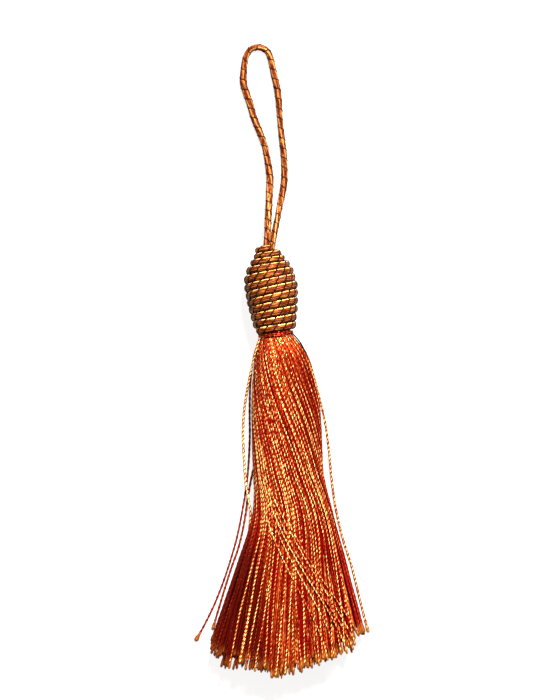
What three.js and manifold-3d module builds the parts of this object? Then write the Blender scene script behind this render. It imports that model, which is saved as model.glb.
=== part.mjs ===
// Silk tassel, lying on a flat surface. Millimetres, +Z up.
//
// The origin is where the wound head touches the surface. +Y runs from the skirt to the hanging loop, and
// +X is to the right of someone who looks down on the tassel with its loop at the top.
//
// Three pieces, as a trimmings maker cuts and winds them:
//   hanging_loop  a gimp cord bent double, with both ends let into the top of the head
//   head_winding  the same cord wound round and round to an acorn shape, hollow at its lower end
//   skirt         a hank of twisted silk threads, bound into a short plug that sits in that hollow

import * as THREE from "three";
import { mergeVertices } from "three/addons/utils/BufferGeometryUtils.js";
import Module from "manifold-3d";

const wasm = await Module();
wasm.setup();

// ---- driving dimensions ----------------------------------------------------------------------------------

const CORD_DIAMETER = 1.6;
const SEAT_GAP = 0.3; // free space left between two pieces that touch

const HEAD_LEAN = THREE.MathUtils.degToRad(5.2); // the head's axis turns this far from +Y, towards -X
const HEAD_AXIS_HEIGHT = 6.35;
const HEAD_WIDEST = 11.6; // from the lower end of the head to its widest turn, which is over the origin
const HEAD_SIDES = 26;
const RIDGE_DEPTH = 0.55; // how deep the groove between two turns of cord is
const RIDGE_STEPS = [0, 0.12, 0.35, 0.65, 0.88]; // where each turn of cord is sampled, from groove to groove

// The wound head from its lower end to its top: crest radius, and how many turns of cord lie below.
const HEAD_ROWS = [
  { along: 0, radius: 5.0, turn: 0.35 },
  { along: 2.25, radius: 5.35, turn: 1.6 },
  { along: 5.9, radius: 6.05, turn: 3.5 },
  { along: 9.65, radius: 6.5, turn: 5.5 },
  { along: HEAD_WIDEST, radius: 6.6, turn: 6.5 },
  { along: 13.5, radius: 6.4, turn: 7.5 },
  { along: 15.4, radius: 5.95, turn: 8.5 },
  { along: 17.2, radius: 4.9, turn: 9.5 },
  { along: 18.8, radius: 3.8, turn: 10.5 },
  { along: 20.1, radius: 3.1, turn: 11.5 },
  { along: 21.2, radius: 2.8, turn: 12.4 },
];
const HEAD_LENGTH = HEAD_ROWS.at(-1).along;

const ROOM = 40; // the cube above the surface that the head is kept to, so that its lowest turn is pressed flat

const PLUG_RADIUS = 4.0; // the bound end of the hank
const PLUG_SUNK = 2.6; // how far it goes into the head
const PLUG_SHOWN = 0.9; // how far it stands out below the head
const PLUG_SIDES = 32;

const LOOP_POCKET_RADIUS = 2.05;
const LOOP_POCKET_DEPTH = 1.3;
const LOOP_SIDES = 8;
const LOOP_STEPS = 76;

// The skirt in sections square to Y, by distance below the head. left and right are X; under, middle and
// crown are Z: a section is widest at its middle, and whatever would come under the surface is pressed flat.
const SKIRT_ROWS = [
  { fall: 0, left: -2.9, right: 4.9, under: 2.45, middle: 6.35, crown: 10.25, thread: 0.31 },
  { fall: 5, left: -4.2, right: 8.5, under: 1.3, middle: 6.2, crown: 11.1, thread: 0.42 },
  { fall: 12, left: -5.2, right: 11.2, under: 0.2, middle: 5.6, crown: 11.5, thread: 0.54 },
  { fall: 20, left: -5.4, right: 12.4, under: -0.7, middle: 5.0, crown: 11.3, thread: 0.58 },
  { fall: 35, left: -4.9, right: 13.4, under: -1.0, middle: 4.2, crown: 10.6, thread: 0.58 },
  { fall: 48, left: -5.9, right: 17.0, under: -1.1, middle: 3.7, crown: 10.1, thread: 0.62 },
  { fall: 62, left: -10.9, right: 20.8, under: -1.2, middle: 3.4, crown: 9.8, thread: 0.66 },
  { fall: 75, left: -14.9, right: 24.4, under: -1.3, middle: 3.2, crown: 9.8, thread: 0.7 },
  { fall: 86, left: -18.2, right: 27.4, under: -1.4, middle: 3.2, crown: 10.0, thread: 0.7 },
];

// Where the scissors went, from the left edge of the skirt (-1) to its right edge (1).
const CUT_ROWS = [
  { across: -1, fall: 76.5 },
  { across: -0.8, fall: 81.8 },
  { across: -0.4, fall: 84.0 },
  { across: -0.1, fall: 85.6 },
  { across: 0.2, fall: 84.0 },
  { across: 0.6, fall: 81.6 },
  { across: 0.85, fall: 78.6 },
  { across: 1, fall: 75.6 },
];

// The hank is laid in shells, one within the other. spread is a shell's size against the outermost.
const SHELLS = [
  { spread: 1, strands: 64, sides: 4 },
  { spread: 0.78, strands: 50, sides: 3 },
  { spread: 0.56, strands: 36, sides: 3 },
  { spread: 0.34, strands: 22, sides: 3 },
  { spread: 0.12, strands: 7, sides: 3 },
];
const SHELL_LIFT = 0.85; // each shell lies this much higher than the one below it, where they are pressed flat
const SHELL_RISE = 0.35; // how far the innermost shell's middle rises, as a share of the way to the crown
const OUTLINE_STEPS = 72; // straight stretches in a shell's outline
const STRAND_ROOT = 0.4; // strands start this far below the head, inside the plug
const STRAND_STEPS = [0, 0.07, 0.2, 0.4, 0.57, 0.78, 1]; // their sections, from root to cut end
const CUT_UNEVEN = 0.9;
const UNDERSIDE_SHORT = 1.6; // threads at the underside are this much shorter than those on top
const STRAND_SEED = 7;
const SIDEWAYS_UNEVEN = 0.22; // at the cut ends, as a share of the distance between neighbours

// Single threads that have left the bundle and lie beside it. slot is the place in the outermost shell that
// the thread comes out of, y is along the tassel and z the thread's middle.
const STRAYS = [
  {
    slot: 46,
    rows: [
      { x: -5.4, y: -17.5, z: 6.8 },
      { x: -6.0, y: -22.5, z: 5.0 },
      { x: -6.8, y: -29.0, z: 3.0 },
      { x: -7.2, y: -36.0, z: 1.3 },
      { x: -7.1, y: -42.0, z: 0.7 },
      { x: -6.8, y: -47.0, z: 1.2 },
      { x: -6.4, y: -51.0, z: 1.45 },
      { x: -6.5, y: -54.5, z: 1.5 },
      { x: -7.0, y: -57.5, z: 1.5 },
    ],
  },
  {
    slot: 49,
    rows: [
      { x: -5.2, y: -17.5, z: 5.0 },
      { x: -5.8, y: -24.0, z: 2.5 },
      { x: -5.9, y: -31.0, z: 0.9 },
      { x: -5.9, y: -40.0, z: 0.35 },
      { x: -6.3, y: -49.0, z: 0.32 },
      { x: -7.6, y: -58.0, z: 0.32 },
      { x: -11.5, y: -72.5, z: 0.32 },
      { x: -14.9, y: -81.0, z: 0.32 },
      { x: -19.2, y: -89.2, z: 0.32 },
    ],
  },
  {
    slot: 15,
    rows: [
      { x: 9.7, y: -17.0, z: 5.9 },
      { x: 11.5, y: -21.5, z: 5.3 },
      { x: 12.8, y: -27.5, z: 4.2 },
      { x: 13.8, y: -35.0, z: 2.8 },
      { x: 14.7, y: -43.0, z: 1.5 },
      { x: 15.7, y: -52.0, z: 0.6 },
      { x: 17.6, y: -61.0, z: 0.34 },
      { x: 20.8, y: -72.0, z: 0.34 },
      { x: 24.5, y: -87.0, z: 0.34 },
    ],
  },
];
const STRAY_LEAVES = [STRAND_ROOT, 3.2]; // it lies in its slot from its root to this far below the head
const STRAY_STEPS = 16;

// The middle of the hanging cord, from one end in the head's top pocket, round the loop, to the other.
const LOOP_ROUTE = [
  [-1.35, 8.5, 6.9],
  [-1.3, 9.85, 6.9],
  [-1, 12.8, 6.6],
  [-0.85, 16.4, 5.4],
  [-0.65, 20.1, 3.8],
  [-0.5, 23.8, 2.3],
  [-0.4, 27.1, 1.35],
  [-0.7, 30, 0.9],
  [-1.15, 32.6, 0.8],
  [-1.65, 35.2, 0.8],
  [-2.5, 37.7, 0.8],
  [-3.55, 40.3, 0.8],
  [-4.55, 42.9, 0.8],
  [-5.35, 45.8, 0.8],
  [-6.25, 48.4, 0.8],
  [-7, 50.9, 0.8],
  [-7.1, 53, 0.8],
  [-6.9, 55.2, 0.8],
  [-6.65, 57.2, 0.8],
  [-5.95, 59, 0.8],
  [-4.8, 60.05, 0.8],
  [-3.2, 60.3, 0.8],
  [-1.65, 59.75, 0.8],
  [-0.6, 58.5, 0.8],
  [0, 56.4, 0.8],
  [0.6, 53.5, 0.8],
  [1.3, 50.5, 0.8],
  [1.75, 47.4, 0.8],
  [2, 43.9, 0.8],
  [2.3, 40.2, 0.8],
  [2.7, 36.6, 0.8],
  [3.1, 32.8, 0.8],
  [3.25, 29.4, 0.8],
  [3.15, 26.2, 0.9],
  [2.65, 23.2, 1.3],
  [2.1, 20.5, 2.1],
  [1.65, 17.9, 3.1],
  [1.15, 15.4, 4.2],
  [0.6, 12.7, 5.15],
  [0.05, 9.85, 5.7],
  [-0.05, 8.5, 5.75],
];

// ---- helpers -------------------------------------------------------------------------------------------

// The value of one column of a table at any place along another, on a smooth curve through its rows.
function readTable(rows, by, column, at) {
  const x = rows.map((row) => row[by]);
  const y = rows.map((row) => row[column]);
  const last = x.length - 1;
  const place = Math.min(Math.max(at, x[0]), x[last]);
  const after = x.findIndex((v) => v > place);
  const k = after === -1 ? last - 1 : after - 1;
  const slope = (row) => {
    const before = Math.max(row - 1, 0);
    const next = Math.min(row + 1, last);
    return (y[next] - y[before]) / (x[next] - x[before]);
  };
  const span = x[k + 1] - x[k];
  const u = (place - x[k]) / span;
  return (
    y[k] * (2 * u ** 3 - 3 * u ** 2 + 1) +
    slope(k) * span * (u ** 3 - 2 * u ** 2 + u) +
    y[k + 1] * (3 * u ** 2 - 2 * u ** 3) +
    slope(k + 1) * span * (u ** 3 - u ** 2)
  );
}

// Small even random numbers from -1 to 1, the same ones on every run.
function randomNumbers(seed) {
  let state = seed;
  return () => {
    state = (state + 0x6d2b79f5) | 0;
    let t = Math.imul(state ^ (state >>> 15), 1 | state);
    t = (t + Math.imul(t ^ (t >>> 7), 61 | t)) ^ t;
    return ((t ^ (t >>> 14)) >>> 0) / 2147483648 - 1;
  };
}

// A three.js geometry as a solid that can be joined and cut.
function toSolid(geometry) {
  const bare = new THREE.BufferGeometry().setAttribute("position", geometry.getAttribute("position"));
  if (geometry.index) bare.setIndex(geometry.index);
  const merged = mergeVertices(bare, 1e-4);
  const kept = [];
  for (let i = 0; i < merged.index.count; i += 3) {
    const [a, b, c] = [0, 1, 2].map((n) => merged.index.getX(i + n));
    if (a !== b && b !== c && c !== a) kept.push(a, b, c);
  }
  return new wasm.Manifold(
    new wasm.Mesh({
      numProp: 3,
      vertProperties: new Float32Array(merged.getAttribute("position").array),
      triVerts: new Uint32Array(kept),
    }),
  );
}

function toGeometry(solid) {
  const mesh = solid.getMesh();
  const geometry = new THREE.BufferGeometry();
  geometry.setAttribute("position", new THREE.BufferAttribute(mesh.vertProperties, 3));
  geometry.setIndex(new THREE.BufferAttribute(mesh.triVerts, 1));
  geometry.computeVertexNormals();
  return geometry;
}

// A skin over rings of points, each ring with the same number of them, closed by a fan at both ends.
function skinRings(rings) {
  const sides = rings[0].length;
  const middles = [rings[0], rings.at(-1)].map((ring) =>
    ring.reduce((sum, p) => sum.add(p), new THREE.Vector3()).divideScalar(sides),
  );
  const points = [...rings.flat(), ...middles];
  const faces = [];
  for (let j = 0; j < sides; j++) {
    const next = (j + 1) % sides;
    for (let i = 0; i + 1 < rings.length; i++) {
      const [a, b] = [i * sides + j, i * sides + next];
      faces.push(a, b, b + sides, a, b + sides, a + sides);
    }
    const end = (rings.length - 1) * sides;
    faces.push(points.length - 2, next, j, points.length - 1, end + j, end + next);
  }
  const geometry = new THREE.BufferGeometry().setFromPoints(points);
  geometry.setIndex(faces);
  return geometry;
}

// A point of the head: along its axis from the lower end, to the right of the axis, and above it.
function headPoint(along, right, up) {
  const forward = along - HEAD_WIDEST;
  return new THREE.Vector3(
    right * Math.cos(HEAD_LEAN) - forward * Math.sin(HEAD_LEAN),
    right * Math.sin(HEAD_LEAN) + forward * Math.cos(HEAD_LEAN),
    HEAD_AXIS_HEIGHT + up,
  );
}

// A round rod on the head's axis, from one place along it to another.
function headRod(radius, from, to, sides) {
  const ring = (along) =>
    Array.from({ length: sides }, (_, j) => {
      const angle = (2 * Math.PI * j) / sides;
      return headPoint(along, radius * Math.cos(angle), radius * Math.sin(angle));
    });
  return toSolid(skinRings([ring(to), ring(from)]));
}

// ---- the wound head --------------------------------------------------------------------------------------

// A row of points follows the cord round, one turn further up for each time it goes round, so that crests and
// grooves are sharp. What would come before the first turn or after the last lies in the groove at the rim.
function woundForm() {
  const firstTurn = HEAD_ROWS[0].turn;
  const lastTurn = HEAD_ROWS.at(-1).turn;
  const rings = [];
  for (let turn = Math.floor(firstTurn) - 1; turn <= lastTurn; turn++) {
    for (const step of RIDGE_STEPS) rings.push(turn + step);
  }
  const pointAt = (started, column) => {
    const angle = (2 * Math.PI * column) / HEAD_SIDES;
    const wanted = started + column / HEAD_SIDES;
    const turn = Math.min(Math.max(wanted, firstTurn), lastTurn);
    const along = readTable(HEAD_ROWS, "turn", "along", turn);
    const across = turn === wanted ? 2 * (started - Math.floor(started)) - 1 : 1;
    const groove = RIDGE_DEPTH * (1 - Math.sqrt(1 - across * across));
    const radius = readTable(HEAD_ROWS, "along", "radius", along) - groove;
    return headPoint(along, -radius * Math.sin(angle), -radius * Math.cos(angle));
  };
  const points = [];
  for (const started of rings) {
    for (let column = 0; column <= HEAD_SIDES; column++) points.push(pointAt(started, column));
  }
  const width = HEAD_SIDES + 1;
  const faces = [];
  for (let i = 0; i + 1 < rings.length; i++) {
    for (let j = 0; j < HEAD_SIDES; j++) {
      const a = i * width + j;
      faces.push(a, a + 1, a + width + 1, a, a + width + 1, a + width);
    }
  }
  const lowerMiddle = points.push(headPoint(0, 0, 0)) - 1;
  const upperMiddle = points.push(headPoint(HEAD_LENGTH, 0, 0)) - 1;
  const top = (rings.length - 1) * width;
  for (let j = 0; j < HEAD_SIDES; j++) {
    faces.push(lowerMiddle, j + 1, j, upperMiddle, top + j, top + j + 1);
  }
  const geometry = new THREE.BufferGeometry().setFromPoints(points);
  geometry.setIndex(faces);
  return toSolid(geometry);
}

function headWinding() {
  const socket = headRod(PLUG_RADIUS + SEAT_GAP, -1, PLUG_SUNK + SEAT_GAP, PLUG_SIDES);
  const pocket = headRod(LOOP_POCKET_RADIUS, HEAD_LENGTH - LOOP_POCKET_DEPTH, HEAD_LENGTH + 1, PLUG_SIDES);
  const room = new THREE.BoxGeometry(ROOM, ROOM, ROOM).translate(0, 0, ROOM / 2);
  return woundForm().subtract(socket).subtract(pocket).intersect(toSolid(room));
}

// ---- the hanging loop ------------------------------------------------------------------------------------

function hangingLoop() {
  const route = new THREE.CatmullRomCurve3(LOOP_ROUTE.map((p) => new THREE.Vector3(...p)));
  const corners = Array.from({ length: LOOP_SIDES }, (_, j) => {
    const angle = (2 * Math.PI * (j + 0.5)) / LOOP_SIDES;
    return new THREE.Vector2(Math.cos(angle), Math.sin(angle)).multiplyScalar(CORD_DIAMETER / 2);
  });
  return new THREE.ExtrudeGeometry(new THREE.Shape(corners), { extrudePath: route, steps: LOOP_STEPS });
}

// ---- the skirt ----------------------------------------------------------------------------------------------

// The skirt's section at a distance below the head.
function skirtSection(fall) {
  const row = { fall };
  for (const column of ["left", "right", "under", "middle", "crown", "thread"]) {
    row[column] = readTable(SKIRT_ROWS, "fall", column, fall);
  }
  return row;
}

// Where a thread of a shell lies in a section: the shell's outline, walked from below to a share of its length.
function placeInShell(section, shell, layer, share) {
  const { left, right, under, middle, crown, thread } = section;
  const inset = thread / 2;
  const half = ((right - left) / 2 - inset) * shell.spread;
  const rise = (crown - middle - inset) * shell.spread;
  const drop = (middle - under - inset) * shell.spread;
  const level = middle + (crown - middle) * SHELL_RISE * (1 - shell.spread);
  const floor = layer * SHELL_LIFT + inset;
  const outline = Array.from({ length: OUTLINE_STEPS + 1 }, (_, i) => {
    const angle = (2 * Math.PI * i) / OUTLINE_STEPS - Math.PI / 2;
    const z = level + Math.sin(angle) * (Math.sin(angle) > 0 ? rise : drop);
    return new THREE.Vector2((left + right) / 2 + half * Math.cos(angle), Math.max(z, floor));
  });
  const lengths = [0];
  for (let i = 1; i <= OUTLINE_STEPS; i++) lengths.push(lengths[i - 1] + outline[i].distanceTo(outline[i - 1]));
  const wanted = (share - Math.floor(share)) * lengths[OUTLINE_STEPS];
  const i = Math.max(lengths.findIndex((v) => v > wanted), 1);
  const u = (wanted - lengths[i - 1]) / (lengths[i] - lengths[i - 1]);
  return {
    middle: outline[i - 1].clone().lerp(outline[i], u),
    along: outline[i].clone().sub(outline[i - 1]).normalize(),
  };
}

// A ring of a strand: its sides square to Y, the first of them lying along the shell.
function strandRing(middle, along, y, thread, sides) {
  const reach = thread / 2 / Math.sin(Math.PI / sides);
  return Array.from({ length: sides }, (_, j) => {
    const angle = (2 * Math.PI * (j + 0.5)) / sides - Math.PI / 2;
    const [s, t] = [reach * Math.cos(angle), reach * Math.sin(angle)];
    const z = Math.max(middle.y + along.y * s + along.x * t, 0);
    return new THREE.Vector3(middle.x + along.x * s - along.y * t, y, z);
  });
}

// The strands of every shell, but for the places in the outermost one that the strays come out of.
function shellStrands(neckY) {
  const random = randomNumbers(STRAND_SEED);
  const taken = STRAYS.map((stray) => stray.slot);
  const strands = [];
  SHELLS.forEach((shell, layer) => {
    for (let n = 0; n < shell.strands; n++) {
      if (layer === 0 && taken.includes(n)) continue;
      const [sideways, cut] = [random() * SIDEWAYS_UNEVEN, random() * CUT_UNEVEN];
      const shareAt = (t) => (n + 0.5 + sideways * t * t) / shell.strands;
      const widest = skirtSection(SKIRT_ROWS.at(-1).fall);
      const tip = placeInShell(widest, shell, layer, shareAt(1)).middle;
      const across = (2 * tip.x - widest.left - widest.right) / (widest.right - widest.left);
      const height = tip.y / widest.crown;
      const end = readTable(CUT_ROWS, "across", "fall", across) + cut - UNDERSIDE_SHORT * (1 - height);
      const rings = STRAND_STEPS.map((t) => {
        const section = skirtSection(STRAND_ROOT + t * (end - STRAND_ROOT));
        const { middle, along } = placeInShell(section, shell, layer, shareAt(t));
        return strandRing(middle, along, neckY - section.fall, section.thread, shell.sides);
      });
      strands.push(toSolid(skinRings(rings)));
    }
  });
  return strands;
}

// A stray lies in its slot near the head, and then follows its own rows.
function strayStrands(neckY) {
  const [outermost] = SHELLS;
  const level = new THREE.Vector2(1, 0);
  return STRAYS.map(({ slot, rows }) => {
    const share = (slot + 0.5) / outermost.strands;
    const start = STRAY_LEAVES.map((fall) => {
      const { middle } = placeInShell(skirtSection(fall), outermost, 0, share);
      return { x: middle.x, y: neckY - fall, z: middle.y };
    });
    const places = [...start, ...rows].map((row) => new THREE.Vector3(row.x, row.y, row.z));
    const rings = new THREE.CatmullRomCurve3(places).getSpacedPoints(STRAY_STEPS).map((p) => {
      const { thread } = skirtSection(neckY - p.y);
      return strandRing(new THREE.Vector2(p.x, p.z), level, p.y, thread, outermost.sides);
    });
    return toSolid(skinRings(rings));
  });
}

function skirt() {
  const neck = headPoint(0, 0, 0);
  const plug = headRod(PLUG_RADIUS, -PLUG_SHOWN, PLUG_SUNK, PLUG_SIDES);
  return wasm.Manifold.union([plug, ...shellStrands(neck.y), ...strayStrands(neck.y)]);
}

// ---- the tassel ---------------------------------------------------------------------------------------------

function piece(name, geometry, colour, roughness) {
  const material = new THREE.MeshStandardMaterial({ color: colour, roughness, metalness: 0 });
  const mesh = new THREE.Mesh(geometry, material);
  mesh.name = name;
  return mesh;
}

const tassel = new THREE.Group();
tassel.add(piece("hanging_loop", hangingLoop(), 0xb4691f, 0.45));
tassel.add(piece("head_winding", toGeometry(headWinding()), 0xa85f1c, 0.45));
tassel.add(piece("skirt", toGeometry(skirt()), 0xc8481a, 0.4));

export default tassel;
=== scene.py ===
# Looks of a silk tassel that lies on a flat surface: a gimp cord bent to a hanging loop, the same cord wound
# to a head, and a skirt of three-ply silk threads. Metres, +Z up, +Y from the skirt to the loop.

import logging
import math
from dataclasses import dataclass, replace
from enum import Enum

import bpy
import numpy as np
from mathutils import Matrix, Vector
from numpy.typing import NDArray


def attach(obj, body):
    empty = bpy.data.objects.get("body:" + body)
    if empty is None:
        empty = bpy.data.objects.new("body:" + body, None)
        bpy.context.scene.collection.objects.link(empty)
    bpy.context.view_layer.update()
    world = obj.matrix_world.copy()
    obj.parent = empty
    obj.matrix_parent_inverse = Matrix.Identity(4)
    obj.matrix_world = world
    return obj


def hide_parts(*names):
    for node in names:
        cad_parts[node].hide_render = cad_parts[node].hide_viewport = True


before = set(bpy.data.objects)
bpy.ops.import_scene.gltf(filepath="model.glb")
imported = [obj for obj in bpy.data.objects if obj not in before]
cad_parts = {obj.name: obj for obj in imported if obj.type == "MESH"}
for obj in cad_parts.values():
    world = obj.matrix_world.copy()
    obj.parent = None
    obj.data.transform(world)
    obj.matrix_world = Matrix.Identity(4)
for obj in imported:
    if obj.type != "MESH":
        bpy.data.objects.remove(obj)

Array = NDArray[np.float64]
Socket, Material = bpy.types.NodeSocket, bpy.types.Material
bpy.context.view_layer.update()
MM = 0.001
TURN = 2 * math.pi
THREAD_MAP = "thread"
APART = 100  # millimetres on the thread map between one tube's start and the next one's
STRIP_ROOM, EDGE_ROOM = 0.08, 0.004  # room left round a strip of the bake map, and at the image's edges

log = logging.getLogger("tassel")


# ---- tables and curves ----


@dataclass(frozen=True)
class Table:
    """A short table of sizes with named columns, read on a smooth curve through its rows."""

    columns: tuple[str, ...]
    rows: tuple[tuple[float, ...], ...]

    def column(self, name: str) -> Array:
        """Gives one column as an array."""
        return np.array(self.rows)[:, self.columns.index(name)]

    def read(self, by: str, wanted: str, at: Array) -> Array:
        """Reads a column at any places along another.

        Formula: a cubic between neighbouring rows, whose slope at a row is the rise from the row before it to
        the row after it, over the distance between those two.

        Args:
            by: the column that the places are measured along.
            wanted: the column to read.
            at: the places.

        Returns:
            The values, in the shape of at.
        """
        x, y = self.column(by), self.column(wanted)
        row = np.arange(len(x))
        before, after = np.maximum(row - 1, 0), np.minimum(row + 1, len(x) - 1)
        slope = (y[after] - y[before]) / (x[after] - x[before])
        place = np.clip(at, x[0], x[-1])
        k = np.clip(np.searchsorted(x, place, side="right") - 1, 0, len(x) - 2)
        span = x[k + 1] - x[k]
        u = (place - x[k]) / span
        return (
            y[k] * (2 * u**3 - 3 * u**2 + 1)
            + slope[k] * span * (u**3 - 2 * u**2 + u)
            + y[k + 1] * (3 * u**2 - 2 * u**3)
            + slope[k + 1] * span * (u**3 - u**2)
        )


def between_rows(values: Array, count: int) -> Array:
    """Reads rows of values more finely, on a smooth curve through them.

    Formula: the Catmull-Rom cubic of the four rows nearest to each place.

    Args:
        values: rows along the second axis, [threads, rows, ...].
        count: how many even places to read.

    Returns:
        The values, [threads, count, ...].
    """
    last = values.shape[1] - 1
    at = np.linspace(0, last, count)
    low = np.minimum(at.astype(int), last - 1)
    u = (at - low).reshape((1, count) + (1,) * (values.ndim - 2))
    a, b = values[:, np.maximum(low - 1, 0)], values[:, low]
    c, d = values[:, low + 1], values[:, np.minimum(low + 2, last)]
    return b + 0.5 * u * (c - a + u * (2 * a - 5 * b + 4 * c - d + u * (3 * (b - c) + d - a)))


def even_route(points: Array, step: float) -> Array:
    """Follows a smooth curve through points at an even pace.

    Formula: the Catmull-Rom curve through the points, read again at equal lengths along it.

    Args:
        points: the points, [points, 3].
        step: the wanted distance between neighbours.

    Returns:
        Places along the curve, [places, 3].
    """
    fine = between_rows(points[None], 24 * len(points))[0]
    length = lengths_along(fine)
    wanted = np.linspace(0, length[-1], int(round(length[-1] / step)) + 1)
    return np.stack([np.interp(wanted, length, fine[:, axis]) for axis in range(3)], axis=-1)


def lengths_along(path: Array) -> Array:
    """Measures along paths.

    Args:
        path: [..., places, 3].

    Returns:
        The length from a path's start to each of its places, [..., places].
    """
    steps = np.linalg.norm(np.diff(path, axis=-2), axis=-1)
    start = np.zeros(steps.shape[:-1] + (1,))
    return np.concatenate([start, np.cumsum(steps, axis=-1)], axis=-1)


def upwards(path: Array) -> Array:
    """Gives the direction straight up at each place of a path."""
    return np.broadcast_to([0.0, 0.0, 1.0], path.shape)


def angles_round(corners: int) -> Array:
    """Gives the even angles of a ring's corners."""
    return TURN * np.arange(corners) / corners


def ellipse(angle: Array, wide: float | Array, high: float | Array) -> Array:
    """Gives the points of an ellipse at these angles, [..., 2], from half its width and half its height."""
    return np.stack([wide * np.cos(angle), high * np.sin(angle)], -1)


def round_rings(radius: float, corners: int, path: Array) -> Array:
    """Gives the same round ring at each place of a path, [..., places, corners, 2]."""
    ring = ellipse(angles_round(corners), radius, radius)
    return np.broadcast_to(ring, path.shape[:-1] + ring.shape)


def soft_step(low: float, high: float, at: Array) -> Array:
    """Rises smoothly from 0 at low to 1 at high."""
    u = np.clip((at - low) / (high - low), 0, 1)
    return u * u * (3 - 2 * u)


def waves(rng: np.random.Generator, threads: int, along: Array, count: int) -> Array:
    """Gives each thread a smooth random wave.

    Formula: a sum of sines with 1, 2, 3 and more half waves over the thread, each with a random phase and a
    random size that falls with its number.

    Args:
        rng: the random numbers.
        threads: how many threads.
        along: places along the threads, from 0 to 1, [threads or 1, places].
        count: how many sines.

    Returns:
        The waves, about -1 to 1, [threads, places].
    """
    number = np.arange(1, count + 1)
    size = rng.normal(0, 0.6, (threads, 1, count)) / number
    phase = rng.uniform(0, TURN, (threads, 1, count))
    return (size * np.sin(math.pi * number * along[..., None] + phase)).sum(-1)


# ---- swept surfaces ----


@dataclass
class Sweep:
    """Rings carried along paths: the points of tubes, with what their finish reads.

    points is [tubes, rings, corners, 3]. along is each ring's length from its tube's start, [tubes, rings].
    shades holds the numbers that the finish reads at each point, by name, ready to fill the points' shape.
    rows_per_tube is how many strips of the bake map a tube is laid in, so that no strip is too thin.
    repeats is how many threads' worth of finish goes round the tube.
    """

    points: Array
    along: Array
    shades: dict[str, Array]
    rows_per_tube: int = 1
    repeats: int = 1

    def part(self, chosen: Array) -> "Sweep":
        """Takes some of the tubes.

        Args:
            chosen: their numbers.

        Returns:
            The sweep of those tubes alone.
        """
        shape = self.points.shape[:3]
        shades = {name: np.broadcast_to(v, shape)[chosen] for name, v in self.shades.items()}
        return Sweep(self.points[chosen], self.along[chosen], shades, self.rows_per_tube)


def carry(path: Array, outward: Array, rings: Array) -> Array:
    """Carries flat rings along paths.

    Formula: point = path + side * ring_x + up * ring_y. up is the outward direction less its share along the
    path, and side is the path's direction crossed with up.

    Args:
        path: [..., places, 3].
        outward: a direction at each place, [..., places, 3].
        rings: [..., places, corners, 2].

    Returns:
        The points, [..., places, corners, 3].
    """
    ahead = np.gradient(path, axis=-2)
    ahead /= np.linalg.norm(ahead, axis=-1, keepdims=True)
    up = outward - (outward * ahead).sum(-1, keepdims=True) * ahead
    up /= np.linalg.norm(up, axis=-1, keepdims=True)
    side = np.cross(ahead, up)
    return path[..., None, :] + side[..., None, :] * rings[..., :1] + up[..., None, :] * rings[..., 1:]


def tube_faces(tubes: int, rings: int, corners: int) -> tuple[Array, Array]:
    """Lays four-sided faces round and along tubes, and a strip of them across each end.

    Formula: corner j of ring i meets corner j of ring i + 1, and the next corner. An end with k corners is
    closed by the faces i, i + 1, k - 2 - i, k - 1 - i.

    Args:
        tubes: how many tubes.
        rings: rings in each.
        corners: corners of a ring, an even number.

    Returns:
        The faces' vertices, [faces, 4], and for each face corner its tube, ring and corner number before it
        wraps round, [faces, 4, 3].
    """
    t, i, j = np.meshgrid(np.arange(tubes), np.arange(rings - 1), np.arange(corners), indexing="ij")
    walls = np.stack(
        [
            np.stack([t, i, j], -1),
            np.stack([t, i + 1, j], -1),
            np.stack([t, i + 1, j + 1], -1),
            np.stack([t, i, j + 1], -1),
        ],
        axis=-2,
    ).reshape(-1, 4, 3)
    across = np.arange(corners // 2 - 1)
    strip = np.stack([across, across + 1, corners - 2 - across, corners - 1 - across], -1)
    tube = np.arange(tubes)[:, None, None]
    ends = [
        np.stack(np.broadcast_arrays(tube, ring, order[None]), -1).reshape(-1, 4, 3)
        for ring, order in ((0, strip), (rings - 1, strip[:, ::-1]))
    ]
    numbers = np.concatenate([walls, *ends])
    vertices = (numbers[..., 0] * rings + numbers[..., 1]) * corners + numbers[..., 2] % corners
    return vertices, numbers


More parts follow.
